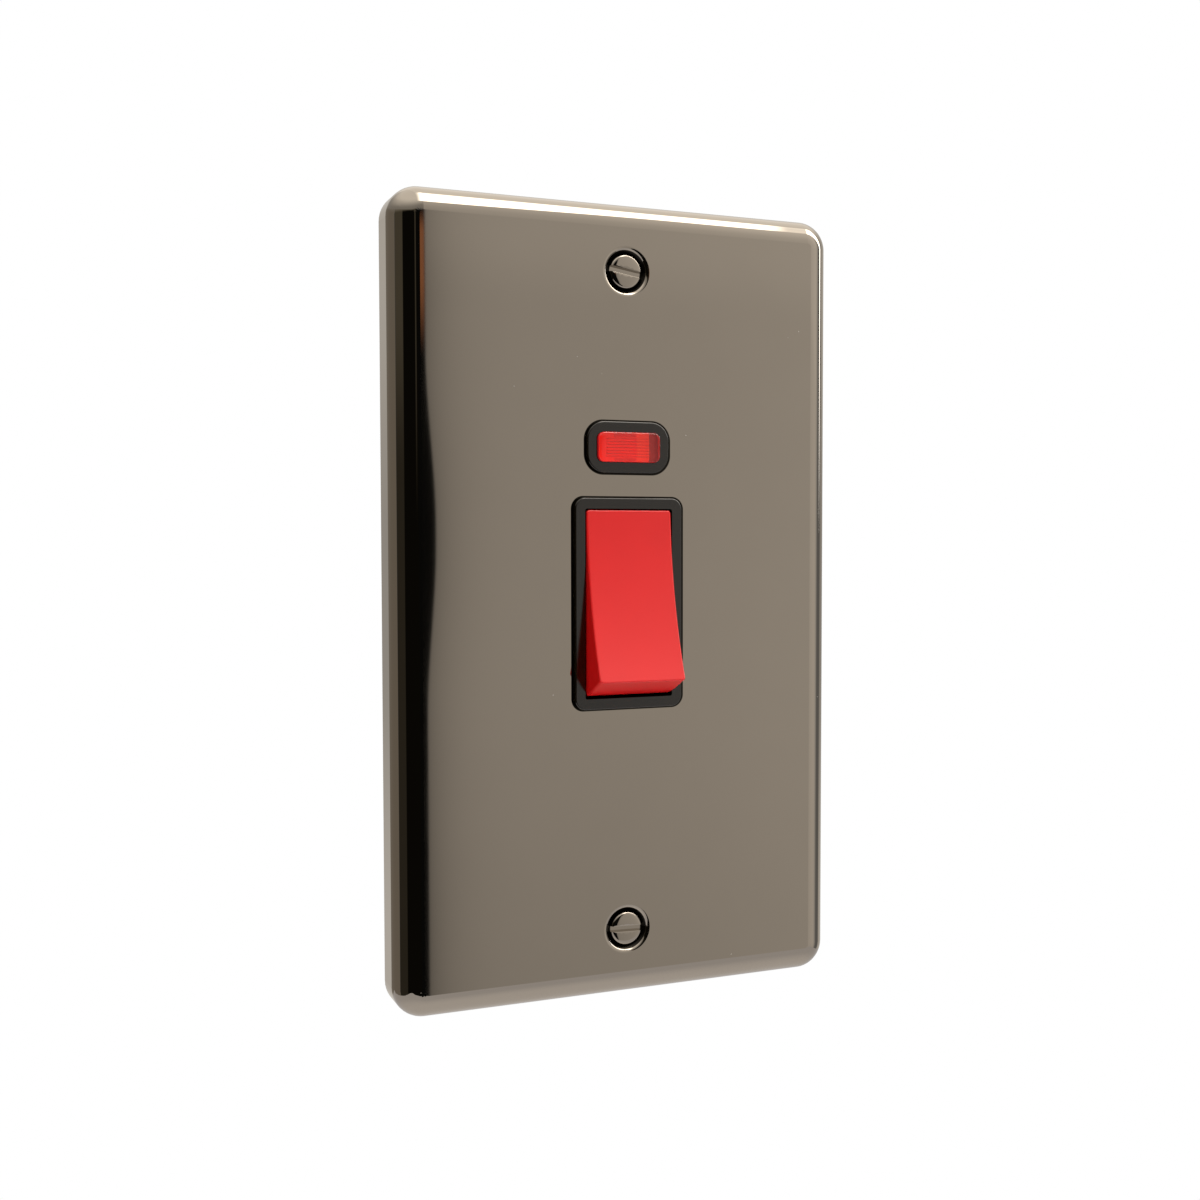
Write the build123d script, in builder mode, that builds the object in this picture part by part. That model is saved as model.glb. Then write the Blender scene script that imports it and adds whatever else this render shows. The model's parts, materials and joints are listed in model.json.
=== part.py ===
from build123d import *
from math import cos, sin, radians, sqrt
import os

# Cooker switch on a double plate. Millimetres.
# The wall plane is y = 0, the front faces -Y, the mechanism lies at +Y, +Z is up.
# Front distances are measured from the wall plane towards -Y.

# Front plate
plate_width = 86.0
plate_height = 146.0
plate_depth = 10.0
plate_corner = 5.5
edge_roll = 4.8
sheet = 1.2
screw_inset = 12.7
screw_pitch = plate_height - 2 * screw_inset
dimple_radius = 4.2
screw_hole_radius = 2.0
dimple_edge = 0.9
dimple_back = 0.5
dimple_land = 1.4

# Rocker frame and lamp frame
frame_width = 21.0
frame_height = 38.4
frame_corner = 2.0
frame_rise = 1.2
frame_bar = 1.95
frame_edge = 0.25
opening_corner = 0.4
lamp_width = 16.0
lamp_height = 9.3
lamp_corner = 3.4
lamp_rise = 0.9
lamp_edge = 0.25
lamp_z = 28.4
window_width = 12.1
window_height = 5.4
window_corner = 1.2
window_wall = 1.3
chamber_wall = 1.2
flange = 2.2
flange_width = 64.0
flange_low = -32.0
flange_high = 37.0
well_back = 1.0
cutout_gap = 0.05

# Rocker
half_throw = 12.5
pivot_behind_frame = 4.0
rocker_gap = 0.25
dish_radius = 88.0
skirt_angle = 17.0
rocker_wall = 1.5
rocker_corner = 0.6
rocker_lip = 0.3
trunnion_radius = 1.6
trunnion_length = 1.55
running_fit = 0.05
stem_x = 4.4
stem_radius = 2.2
stem_reach = 9.5
stem_root = 4.9
spring_seat = 2.0

# Plungers and springs
plunger_radius = 1.5
plunger_reach = 13.0
plunger_top = 4.0
coil_radius = 1.15
wire_radius = 0.22
coil_pitch = 1.35
coil_end = 0.3

# See-saw contacts
contact_throw = 8.5
contact_clear = 0.1
dish_depth = 1.0
arm_thick = 2.6
arm_width = 4.6
arm_up = 11.5
arm_down = 11.0
axis_behind_arm = 0.4
fulcrum_radius = 1.0
fulcrum_stem = 1.4
tip_z = 9.5
tip_radius = 1.9
tip_height = 0.7
tip_edge = 0.4
fixed_tip_radius = 2.1
fixed_tip_height = 0.78
stop_clear = 0.17

# Terminals
strip = 1.2
strip_width = 5.0
strip_lead = 3.0
block_x = 9.0
block_width = 10.0
block_length = 11.0
block_front = 7.5
bore_centre = 4.0
bore_radius = 3.0
bore_length = 9.0
screw_radius = 2.5
screw_short = 0.4
slot_width = 0.9
slot_depth = 0.9

# Rear housing
box_width = 46.0
box_low = -31.0
box_high = 36.0
box_wall = 1.8
box_corner = 3.0
box_edge = 1.0
floor = 2.0
box_depth = 22.0
panel_border = 3.0
panel_depth = 0.6
divider_thick = 2.0
divider_rise = 2.4
pocket_gap = 0.15
bridge_low = 23.5
bridge_high = 33.5
bridge_thick = 1.8
barrier_thick = 1.8
barrier_length = 19.4
access_radius = 2.9
ear_reach = 31.5
ear_height = 10.0
ear_thick = 3.0
ear_front = 4.0
gusset_thick = 1.2
gusset_run = 6.0
gusset_rise = 7.0
pillar_x = 27.0
pillar_z = 24.0
pillar_radius = 3.0
pillar_gap = 0.2
clamp_radius = 1.5
clamp_gap = 0.2
clamp_head_radius = 2.8
clamp_head = 2.0
clamp_bite = 3.6

# Fixing screws
head_radius = 3.15
head_rim = 0.85
head_dome = 0.15
head_edge = 0.6
head_slot = 1.05
neck_radius = 1.5
thread_gap = 0.6
shank_radius = 1.75
shank_length = 25.0
shank_point = 0.4
top_slot_turn = -9.0
bottom_slot_turn = -2.0

# Neon
lens_gap = 0.05
lens_recess = 0.45
lens_edge = 0.35
lens_flange = 1.0
chamber_gap = 0.1
rib_count = 8
rib_pitch = 0.53
rib_height = 0.25
rib_width = 0.3
rib_length = 8.8
rib_shift = -0.27
lamp_radius = 2.8
lamp_glass = 0.5
lamp_front = 8.0
lamp_tail = 0.6
lamp_hold_gap = 0.1
electrode_radius = 0.4
electrode_x = 0.95
electrode_length = 4.2
lead_radius = 0.6
lead_x = 18.0
lead_y = 3.0
lead_bend = 1.4
lead_drop_y = 10.0
resistor_radius = 1.3
resistor_low = 12.0
resistor_length = 7.0

# Earth terminal
earth_side = 21.0
earth_low = 25.0
earth_width = 8.0
earth_length = 9.0
earth_back = 8.2
earth_bore_y = 2.4
earth_bore_radius = 2.0
earth_bore_length = 7.0
earth_screw_radius = 2.0

# Derived positions, as y
face_back = -(plate_depth - sheet)
frame_front = plate_depth + frame_rise
pivot_y = -(frame_front - pivot_behind_frame)
opening_width = frame_width - 2 * frame_bar
opening_height = frame_height - 2 * frame_bar
rocker_width = opening_width - 2 * rocker_gap
sweep_radius = opening_height / 2 - rocker_gap
flange_back = plate_depth - sheet - flange
bowl_y = pivot_y + plunger_reach + contact_clear
arm_front = bowl_y - dish_depth
arm_back = arm_front + arm_thick
axis_y = arm_back + axis_behind_arm
tip_centre = plunger_reach - plunger_radius
floor_y = box_depth - floor
earth_x = plate_width / 2 - earth_side
earth_z = earth_low - plate_height / 2

os.makedirs("parts", exist_ok=True)


def front(distance):
    return Plane.XZ.offset(distance)


def turned(y, angle):
    """Section plane through (y, z = 0): local x runs back, local y runs up, turned about X."""
    a = radians(angle)
    return Plane(origin=(0, y, 0), x_dir=(0, cos(a), sin(a)), z_dir=(1, 0, 0))


def turned_face(y, angle, x=0.0):
    """Face plane through (x, y, z = 0): local x runs right, local y runs up, turned about X."""
    a = radians(angle)
    return Plane(origin=(x, y, 0), x_dir=(1, 0, 0), z_dir=(0, -cos(a), -sin(a)))


# Front plate: pressed tray with a rolled edge
with BuildPart() as tray_hollow:
    with BuildSketch(front(0)):
        RectangleRounded(plate_width - 2 * sheet, plate_height - 2 * sheet, plate_corner - sheet)
    extrude(amount=plate_depth - sheet)
    fillet(tray_hollow.faces().sort_by(Axis.Y)[0].edges(), edge_roll - sheet)

with BuildPart() as front_plate:
    with BuildSketch(front(0)):
        RectangleRounded(plate_width, plate_height, plate_corner)
    extrude(amount=plate_depth)
    fillet(front_plate.faces().sort_by(Axis.Y)[0].edges(), edge_roll)
    add(tray_hollow.part, mode=Mode.SUBTRACT)
    dimple_end = plate_depth - (dimple_radius - screw_hole_radius)
    for z0 in (screw_pitch / 2, -screw_pitch / 2):
        with BuildSketch(Plane.XY.offset(z0)):
            with BuildLine():
                Polyline(
                    (0, -plate_depth + sheet / 2),
                    (dimple_radius + dimple_back, -plate_depth + sheet / 2),
                    (dimple_radius + dimple_back, face_back),
                    (screw_hole_radius + dimple_land, -dimple_end + dimple_back),
                    (0, -dimple_end + dimple_back),
                    close=True,
                )
            make_face()
        revolve(axis=Axis((0, 0, z0), (0, 1, 0)))
        with BuildSketch(Plane.XY.offset(z0)):
            with BuildLine():
                Polyline(
                    (0, -plate_depth - 1),
                    (dimple_radius, -plate_depth - 1),
                    (dimple_radius, -plate_depth),
                    (screw_hole_radius, -dimple_end),
                    (screw_hole_radius, 0),
                    (0, 0),
                    close=True,
                )
            make_face()
        revolve(axis=Axis((0, 0, z0), (0, 1, 0)), mode=Mode.SUBTRACT)
    with BuildSketch(front(0)):
        RectangleRounded(
            frame_width + 2 * cutout_gap,
            frame_height + 2 * cutout_gap,
            frame_corner + cutout_gap,
        )
        with Locations((0, lamp_z)):
            RectangleRounded(
                lamp_width + 2 * cutout_gap,
                lamp_height + 2 * cutout_gap,
                lamp_corner + cutout_gap,
            )
    extrude(amount=plate_depth, mode=Mode.SUBTRACT)
    rims = front_plate.edges().filter_by(GeomType.CIRCLE)
    rims = [e for e in rims if abs(e.radius - dimple_radius) < 1e-4]
    fillet(rims, dimple_edge)
front_plate.part.label = "front_plate"
export_step(front_plate.part, "parts/front_plate.step")

# Fixing screws: raised countersunk heads seated in the dimples, their rims rounded over
seat_y = -(plate_depth - (dimple_radius - head_radius))
rim_y = seat_y - head_rim
crown_y = rim_y - head_dome
with BuildPart() as fixing_screws:
    for z0 in (screw_pitch / 2, -screw_pitch / 2):
        neck_y = seat_y + head_radius - neck_radius
        thread_y = -dimple_end + dimple_back + thread_gap
        tail_y = seat_y + shank_length
        with BuildSketch(Plane.XY.offset(z0)):
            with BuildLine():
                Line((0, crown_y), (0, tail_y))
                Line((0, tail_y), (shank_radius - shank_point, tail_y))
                Line((shank_radius - shank_point, tail_y), (shank_radius, tail_y - shank_point))
                Line((shank_radius, tail_y - shank_point), (shank_radius, thread_y))
                Line((shank_radius, thread_y), (neck_radius, thread_y))
                Line((neck_radius, thread_y), (neck_radius, neck_y))
                Line((neck_radius, neck_y), (head_radius, seat_y))
                Line((head_radius, seat_y), (head_radius, rim_y))
                dome_ball = (head_radius**2 + head_dome**2) / (2 * head_dome)
                dome_mid = head_radius / 2
                dome_drop = dome_ball - sqrt(dome_ball**2 - dome_mid**2)
                ThreePointArc(
                    (head_radius, rim_y),
                    (dome_mid, crown_y + dome_drop),
                    (0, crown_y),
                )
            make_face()
        revolve(axis=Axis((0, 0, z0), (0, 1, 0)))
    rims = fixing_screws.edges().filter_by(GeomType.CIRCLE)
    fillet([e for e in rims if abs(e.center().Y - rim_y) < 1e-4], head_edge)
    for z0, turn in ((screw_pitch / 2, top_slot_turn), (-screw_pitch / 2, bottom_slot_turn)):
        with BuildSketch(front(-crown_y - slot_depth)):
            with Locations((0, z0)):
                Rectangle(2 * head_radius + 1, head_slot, rotation=turn)
        extrude(amount=slot_depth + 1, mode=Mode.SUBTRACT)
fixing_screws.part.label = "fixing_screws"
export_step(fixing_screws.part, "parts/fixing_screws.step")

# Front moulding: flange behind the plate, rocker frame and lamp frame standing through it
lamp_front_face = plate_depth + lamp_rise
chamber_width = lamp_width - 2 * chamber_wall
chamber_height = lamp_height - 2 * chamber_wall
with BuildPart() as rocker_frame:
    with BuildSketch(front(well_back)):
        RectangleRounded(frame_width, frame_height, frame_corner)
    extrude(amount=frame_front - well_back)
    fillet(rocker_frame.faces().sort_by(Axis.Y)[0].edges(), frame_edge)

with BuildPart() as lamp_frame:
    with BuildSketch(front(well_back)):
        with Locations((0, lamp_z)):
            RectangleRounded(lamp_width, lamp_height, lamp_corner)
    extrude(amount=lamp_front_face - well_back)
    fillet(lamp_frame.faces().sort_by(Axis.Y)[0].edges(), lamp_edge)

with BuildPart() as front_moulding:
    with BuildSketch(front(flange_back)):
        with Locations((0, (flange_low + flange_high) / 2)):
            RectangleRounded(flange_width, flange_high - flange_low, box_corner)
    extrude(amount=flange)
    add(rocker_frame.part)
    add(lamp_frame.part)
    with BuildSketch(front(well_back)):
        RectangleRounded(opening_width, opening_height, opening_corner)
    extrude(amount=frame_front, mode=Mode.SUBTRACT)
    with BuildSketch(front(well_back)):
        with Locations((0, lamp_z)):
            RectangleRounded(chamber_width, chamber_height, lamp_corner - chamber_wall)
    extrude(amount=lamp_front_face - window_wall - well_back, mode=Mode.SUBTRACT)
    with BuildSketch(front(well_back)):
        with Locations((0, lamp_z)):
            RectangleRounded(
                window_width + 2 * lens_gap,
                window_height + 2 * lens_gap,
                window_corner + lens_gap,
            )
    extrude(amount=lamp_front_face, mode=Mode.SUBTRACT)
    with BuildSketch(Plane.YZ.offset(-(opening_width / 2 + trunnion_length - rocker_gap / 2))):
        with Locations((pivot_y, 0)):
            Circle(trunnion_radius + running_fit)
    extrude(amount=opening_width + 2 * trunnion_length - rocker_gap, mode=Mode.SUBTRACT)
    with BuildSketch(front(flange_back)):
        with GridLocations(2 * pillar_x, 2 * pillar_z, 2, 2):
            Circle(pillar_radius + pillar_gap)
    extrude(amount=flange, mode=Mode.SUBTRACT)
front_moulding.part.label = "front_moulding"
export_step(front_moulding.part, "parts/front_moulding.step")

# Rocker, drawn about its pivot with q towards the front, then held at the off stop
a_half = radians(half_throw)
lip_q = pivot_behind_frame * cos(a_half) + sweep_radius * sin(a_half)
lip_z = sweep_radius * cos(a_half) - pivot_behind_frame * sin(a_half)
dish_sag = dish_radius - sqrt(dish_radius**2 - lip_z**2)
rocker_section = turned(pivot_y, -half_throw)
rocker_face = turned_face(pivot_y, -half_throw)


def rocker_outline(radius, lip_front, lip_height, sag):
    a = radians(half_throw)
    s = radians(-skirt_angle)
    m = (a + s) / 2
    if sag > 0:
        ThreePointArc((-lip_front, lip_height), (-lip_front + sag, 0), (-lip_front, -lip_height))
    else:
        Line((-lip_front, lip_height), (-lip_front, -lip_height))
    for side in (1, -1):
        Line((-lip_front, side * lip_height), (-radius * sin(a), side * radius * cos(a)))
        ThreePointArc(
            (-radius * sin(a), side * radius * cos(a)),
            (-radius * sin(m), side * radius * cos(m)),
            (-radius * sin(s), side * radius * cos(s)),
        )
    Line(
        (-radius * sin(s), radius * cos(s)),
        (-radius * sin(s), -radius * cos(s)),
    )


with BuildPart() as rocker_hollow:
    with BuildSketch(rocker_section):
        with BuildLine():
            inner = sweep_radius - rocker_wall
            inner_lip = lip_q - dish_sag - rocker_wall
            inner_z = (inner - inner_lip * sin(a_half)) / cos(a_half)
            rocker_outline(inner, inner_lip, inner_z, 0)
        make_face()
    extrude(amount=rocker_width / 2 - rocker_wall, both=True)
    with BuildSketch(rocker_face.offset(inner * sin(radians(-skirt_angle)))):
        Rectangle(rocker_width - 2 * rocker_wall, 2 * inner * cos(radians(skirt_angle)))
    extrude(amount=-2 * rocker_wall)

with BuildPart() as rocker:
    with BuildSketch(rocker_section):
        with BuildLine():
            rocker_outline(sweep_radius, lip_q, lip_z, dish_sag)
        make_face()
    extrude(amount=rocker_width / 2, both=True)
    end_faces = [f for f in rocker.faces() if abs(f.normal_at().Z) > 0.85]
    upright = []
    for f in end_faces:
        for e in f.edges():
            if abs(e.tangent_at(0.5).X) < 0.5:
                upright.append(e)
    fillet(upright, rocker_corner)
    dish = rocker.faces().filter_by(GeomType.CYLINDER).sort_by(SortBy.AREA)[-1]
    fillet(dish.edges(), rocker_lip)
    add(rocker_hollow.part, mode=Mode.SUBTRACT)
    with BuildSketch(Plane.YZ.offset(-(rocker_width / 2 + trunnion_length))):
        with Locations((pivot_y, 0)):
            Circle(trunnion_radius)
    extrude(amount=trunnion_length + rocker_wall)
    with BuildSketch(Plane.YZ.offset(rocker_width / 2 - rocker_wall)):
        with Locations((pivot_y, 0)):
            Circle(trunnion_radius)
    extrude(amount=trunnion_length + rocker_wall)
    with BuildSketch(rocker_face.offset(-stem_reach)):
        with Locations((-stem_x, 0), (stem_x, 0)):
            Circle(stem_radius)
    extrude(amount=stem_reach + stem_root)
    with BuildSketch(rocker_face.offset(-stem_reach)):
        with Locations((-stem_x, 0), (stem_x, 0)):
            Circle(plunger_radius + running_fit)
    extrude(amount=stem_reach + spring_seat, mode=Mode.SUBTRACT)
rocker.part.label = "rocker"
export_step(rocker.part, "parts/rocker.step")

# Plungers and their springs in the rocker stems
for side, x0 in (("left", -stem_x), ("right", stem_x)):
    stem = turned_face(pivot_y, -half_throw, x0)
    with BuildPart() as plunger:
        with BuildSketch(Plane(origin=stem.origin, x_dir=stem.x_dir, z_dir=stem.y_dir)):
            with BuildLine():
                Line((0, plunger_top), (plunger_radius, plunger_top))
                Line((plunger_radius, plunger_top), (plunger_radius, tip_centre))
                ThreePointArc(
                    (plunger_radius, tip_centre),
                    (plunger_radius * sqrt(0.5), tip_centre + plunger_radius * sqrt(0.5)),
                    (0, plunger_reach),
                )
                Line((0, plunger_reach), (0, plunger_top))
            make_face()
        revolve(axis=Axis(stem.origin, -stem.z_dir))
    plunger.part.label = "plunger_" + side
    export_step(plunger.part, "parts/plunger_" + side + ".step")

    coil_height = plunger_top + spring_seat - 2 * (wire_radius + coil_end)
    with BuildPart() as spring:
        with BuildLine() as coil:
            foot = stem.offset(-plunger_top + wire_radius + coil_end)
            Helix(coil_pitch, coil_height, coil_radius, center=foot.origin, direction=stem.z_dir)
        with BuildSketch(Plane(origin=coil.line @ 0, z_dir=coil.line % 0)):
            Circle(wire_radius)
        sweep(is_frenet=True)
    spring.part.label = "plunger_spring_" + side
    export_step(spring.part, "parts/plunger_spring_" + side + ".step")

# See-saw contacts: the dish follows the plunger tip over the whole throw
b_half = radians(contact_throw)
end_y = pivot_y + tip_centre * cos(a_half) - axis_y
end_z = tip_centre * sin(a_half)
path_y = axis_y + end_y * cos(b_half) - end_z * sin(b_half)
path_z = end_y * sin(b_half) + end_z * cos(b_half)
path_rise = pivot_y + tip_centre - path_y
path_radius = (path_z**2 + path_rise**2) / (2 * path_rise)
bowl_radius = path_radius + plunger_radius + contact_clear
arm_section = turned(axis_y, contact_throw)
arm_face = turned_face(axis_y, contact_throw)
for side, x0 in (("left", -stem_x), ("right", stem_x)):
    with BuildPart() as arm:
        with BuildSketch(arm_section.offset(x0 - arm_width / 2)):
            with BuildLine():
                Polyline(
                    (arm_front - axis_y, arm_up),
                    (arm_back - axis_y, arm_up),
                    (arm_back - axis_y, -arm_down),
                    (arm_front - axis_y, -arm_down),
                    close=True,
                )
            make_face()
            with Locations((bowl_y - bowl_radius - axis_y, 0)):
                Circle(bowl_radius, mode=Mode.SUBTRACT)
            Circle(fulcrum_radius + running_fit, mode=Mode.SUBTRACT)
        extrude(amount=arm_width)
    arm.part.label = "moving_contact_" + side
    export_step(arm.part, "parts/moving_contact_" + side + ".step")

    tip_plane = turned_face(axis_y, contact_throw, x0).offset(axis_y - arm_back)
    with BuildPart() as moving_tip:
        with BuildSketch(tip_plane):
            with Locations((0, tip_z)):
                Circle(tip_radius)
        extrude(amount=-tip_height)
        chamfer(
            moving_tip.faces().sort_by(Axis.Y)[-1].edges(),
            length=tip_height - tip_edge,
            length2=tip_radius / 2,
            reference=moving_tip.faces().filter_by(GeomType.CYLINDER)[0],
        )
    moving_tip.part.label = "moving_tip_" + side
    export_step(moving_tip.part, "parts/moving_tip_" + side + ".step")

# Terminals: a brass block with its cable bore and a strip into the switch
stop_y = axis_y + (arm_back - axis_y) * cos(b_half) + arm_down * sin(b_half) + stop_clear
tip_y = axis_y + (arm_back + tip_height - axis_y) * cos(b_half) + tip_z * sin(b_half) + contact_clear
supply_strip_y = tip_y + fixed_tip_height
for side, sign in (("left", -1), ("right", 1)):
    for name, low, strip_y, strip_end, mouth in (
        ("supply", box_high - block_length, supply_strip_y, tip_z - strip_width / 2, 1),
        ("load", box_low, stop_y, strip_lead, -1),
    ):
        block_middle = low + block_length / 2
        block_inner = block_middle - mouth * block_length / 2
        with BuildPart() as terminal:
            with BuildSketch(front(-floor_y)):
                with Locations((sign * block_x, block_middle)):
                    Rectangle(block_width, block_length)
            extrude(amount=floor_y - block_front)
            with BuildSketch(front(-strip_y - strip)):
                with Locations((sign * stem_x, (strip_end + block_inner) / 2)):
                    Rectangle(strip_width, abs(block_inner - strip_end))
            extrude(amount=strip)
            with BuildSketch(Plane.XY.offset(block_middle + mouth * block_length / 2)):
                with Locations((sign * block_x, block_front + bore_centre)):
                    Circle(bore_radius)
            extrude(amount=-mouth * bore_length, mode=Mode.SUBTRACT)
            with BuildSketch(front(-floor_y)):
                with Locations((sign * block_x, block_middle)):
                    Circle(screw_radius)
            extrude(amount=floor_y - block_front - bore_centre, mode=Mode.SUBTRACT)
            if name == "load":
                with BuildSketch(Plane.YZ.offset(sign * stem_x - arm_width / 2)):
                    with Locations((axis_y, 0)):
                        Circle(fulcrum_radius)
                    with Locations(((axis_y + strip_y) / 2, 0)):
                        Rectangle(strip_y - axis_y, fulcrum_stem)
                extrude(amount=arm_width)
        terminal.part.label = name + "_terminal_" + side
        export_step(terminal.part, "parts/" + name + "_terminal_" + side + ".step")

with BuildPart() as fixed_tips:
    with BuildSketch(front(-supply_strip_y)):
        with Locations((-stem_x, tip_z), (stem_x, tip_z)):
            Circle(fixed_tip_radius)
    extrude(amount=fixed_tip_height)
fixed_tips.part.label = "fixed_tips"
export_step(fixed_tips.part, "parts/fixed_tips.step")

screw_tail = block_front + bore_centre + bore_radius
with BuildPart() as terminal_screws:
    for z0 in (box_high - block_length / 2, box_low + block_length / 2):
        with BuildSketch(front(-floor_y + screw_short)):
            with Locations((-block_x, z0), (block_x, z0)):
                Circle(screw_radius)
        extrude(amount=floor_y - screw_short - screw_tail)
        with BuildSketch(front(-floor_y + screw_short)):
            with Locations((-block_x, z0), (block_x, z0)):
                Rectangle(2 * screw_radius + 1, slot_width)
        extrude(amount=slot_depth, mode=Mode.SUBTRACT)
terminal_screws.part.label = "terminal_screws"
export_step(terminal_screws.part, "parts/terminal_screws.step")

# Rear housing: box on the flange, with terminal pockets, anvils, lamp bridge and ears
box_middle = (box_low + box_high) / 2
box_height = box_high - box_low
notch = block_width + 2 * pocket_gap
with BuildPart() as rear_housing:
    with BuildSketch(front(-box_depth)):
        with Locations((0, box_middle)):
            RectangleRounded(box_width, box_height, box_corner)
    extrude(amount=box_depth + flange_back)
    fillet(rear_housing.faces().sort_by(Axis.Y)[-1].edges(), box_edge)
    with BuildSketch(front(-floor_y)):
        with Locations((0, box_middle)):
            RectangleRounded(box_width - 2 * box_wall, box_height - 2 * box_wall, box_corner - box_wall)
    extrude(amount=floor_y + flange_back, mode=Mode.SUBTRACT)
    with BuildSketch(front(-box_depth)):
        with Locations((0, box_middle)):
            RectangleRounded(
                box_width - 2 * panel_border,
                box_height - 2 * block_length - 2 * panel_border,
                box_corner,
            )
    extrude(amount=panel_depth, mode=Mode.SUBTRACT)
    for end, rise in ((box_high, divider_rise), (box_low, -divider_rise)):
        with BuildSketch(Plane.XY.offset(end)):
            with Locations((0, (block_front + floor_y) / 2)):
                Rectangle(divider_thick, floor_y - block_front)
        extrude(amount=rise)
    with BuildSketch(front(-floor_y)):
        Rectangle(barrier_thick, barrier_length)
        for z0 in (box_high - block_length / 2, box_low + block_length / 2):
            with Locations((0, z0)):
                Rectangle(2 * (block_x - notch / 2), block_length)
    extrude(amount=floor_y - block_front)
    with BuildSketch(front(-floor_y)):
        with Locations((-stem_x, 0), (stem_x, 0)):
            Rectangle(strip_width, 2 * strip_lead)
    extrude(amount=floor_y - stop_y - strip)
    with BuildSketch(front(-floor_y)):
        with Locations((-stem_x, tip_z), (stem_x, tip_z)):
            Rectangle(strip_width, strip_width)
    extrude(amount=floor_y - supply_strip_y - strip)
    with BuildSketch(front(-floor_y)):
        for z0 in (box_high - block_length / 2, box_low + block_length / 2):
            for sign in (-1, 1):
                with Locations((sign * (block_x + notch / 2 + box_wall / 2), z0)):
                    Rectangle(box_wall, block_length)
    extrude(amount=floor_y - block_front - bore_centre - bore_radius / 2)
    with BuildSketch(front(well_back - bridge_thick)):
        with Locations((0, (bridge_low + bridge_high) / 2)):
            Rectangle(box_width - box_wall, bridge_high - bridge_low)
    extrude(amount=bridge_thick)
    with BuildSketch(front(-bridge_thick)):
        with Locations((0, lamp_z)):
            Circle(lamp_radius + lamp_hold_gap)
    extrude(amount=2 * bridge_thick, mode=Mode.SUBTRACT)
    with BuildSketch(front(-floor_y)):
        for z0 in (box_high - block_length / 2, box_low + block_length / 2):
            for sign in (-1, 1):
                with Locations((sign * block_x, z0)):
                    Rectangle(notch, block_length + 2 * pocket_gap)
    extrude(amount=floor_y - block_front + pocket_gap, mode=Mode.SUBTRACT)
    with BuildSketch(front(-box_depth)):
        for z0 in (box_high - block_length / 2, box_low + block_length / 2):
            with Locations((-block_x, z0), (block_x, z0)):
                Circle(access_radius)
    extrude(amount=floor, mode=Mode.SUBTRACT)
    ear_inner = box_width / 2 - box_wall
    with BuildSketch(front(ear_front - ear_thick)):
        for sign in (-1, 1):
            with Locations(
                (sign * (ear_inner + ear_reach) / 2, pillar_z),
                (sign * (ear_inner + ear_reach) / 2, -pillar_z),
            ):
                RectangleRounded(ear_reach - ear_inner, ear_height, box_wall / 2)
    extrude(amount=ear_thick)
    ear_back = ear_thick - ear_front
    box_side = box_width / 2
    for z0 in (pillar_z, -pillar_z):
        for edge in (-1, 1):
            for sign in (-1, 1):
                with BuildSketch(Plane.XY.offset(z0 + edge * (ear_height - gusset_thick) / 2)):
                    with BuildLine():
                        Polyline(
                            (sign * ear_inner, ear_back),
                            (sign * (box_side + gusset_run), ear_back),
                            (sign * box_side, ear_back + gusset_rise),
                            (sign * ear_inner, ear_back + gusset_rise),
                            close=True,
                        )
                    make_face()
                extrude(amount=gusset_thick / 2, both=True)
    with BuildSketch(front(ear_front - ear_thick)):
        with GridLocations(2 * pillar_x, 2 * pillar_z, 2, 2):
            Circle(clamp_radius + clamp_gap)
    extrude(amount=ear_thick, mode=Mode.SUBTRACT)
rear_housing.part.label = "rear_housing"
export_step(rear_housing.part, "parts/rear_housing.step")

# Pillars on the plate and the screws that clamp the housing to them
with BuildPart() as plate_pillars:
    with BuildSketch(front(ear_front)):
        with GridLocations(2 * pillar_x, 2 * pillar_z, 2, 2):
            Circle(pillar_radius)
            Circle(clamp_radius, mode=Mode.SUBTRACT)
    extrude(amount=plate_depth - sheet - ear_front)
plate_pillars.part.label = "plate_pillars"
export_step(plate_pillars.part, "parts/plate_pillars.step")

with BuildPart() as mechanism_screws:
    with BuildSketch(front(ear_front - ear_thick)):
        with GridLocations(2 * pillar_x, 2 * pillar_z, 2, 2):
            Circle(clamp_head_radius)
    extrude(amount=-clamp_head)
    fillet(mechanism_screws.faces().group_by(Axis.Y)[-1].edges(), clamp_head / 3)
    with BuildSketch(front(ear_front - ear_thick)):
        with GridLocations(2 * pillar_x, 2 * pillar_z, 2, 2):
            Circle(clamp_radius)
    extrude(amount=ear_thick + clamp_bite)
    with BuildSketch(front(ear_front - ear_thick - clamp_head)):
        with GridLocations(2 * pillar_x, 2 * pillar_z, 2, 2):
            Rectangle(2 * clamp_head_radius + 1, slot_width)
    extrude(amount=clamp_head / 2, mode=Mode.SUBTRACT)
mechanism_screws.part.label = "mechanism_screws"
export_step(mechanism_screws.part, "parts/mechanism_screws.step")

# Neon lens with ribs on its back
lens_front = lamp_front_face - lens_recess
lens_seat = lamp_front_face - window_wall
with BuildPart() as neon_lens:
    with BuildSketch(front(lens_seat)):
        with Locations((0, lamp_z)):
            RectangleRounded(window_width, window_height, window_corner)
    extrude(amount=lens_front - lens_seat)
    fillet(neon_lens.faces().sort_by(Axis.Y)[0].edges(), lens_edge)
    with BuildSketch(front(lens_seat - lens_flange)):
        with Locations((0, lamp_z)):
            RectangleRounded(
                chamber_width - 2 * chamber_gap,
                chamber_height - 2 * chamber_gap,
                lamp_corner - chamber_wall - chamber_gap,
            )
    extrude(amount=lens_flange)
    with BuildSketch(front(lens_seat - lens_flange)):
        with Locations((rib_shift, lamp_z)):
            with GridLocations(0, rib_pitch, 1, rib_count):
                Rectangle(rib_length, rib_width)
    extrude(amount=-rib_height)
neon_lens.part.label = "neon_lens"
export_step(neon_lens.part, "parts/neon_lens.step")

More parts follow.
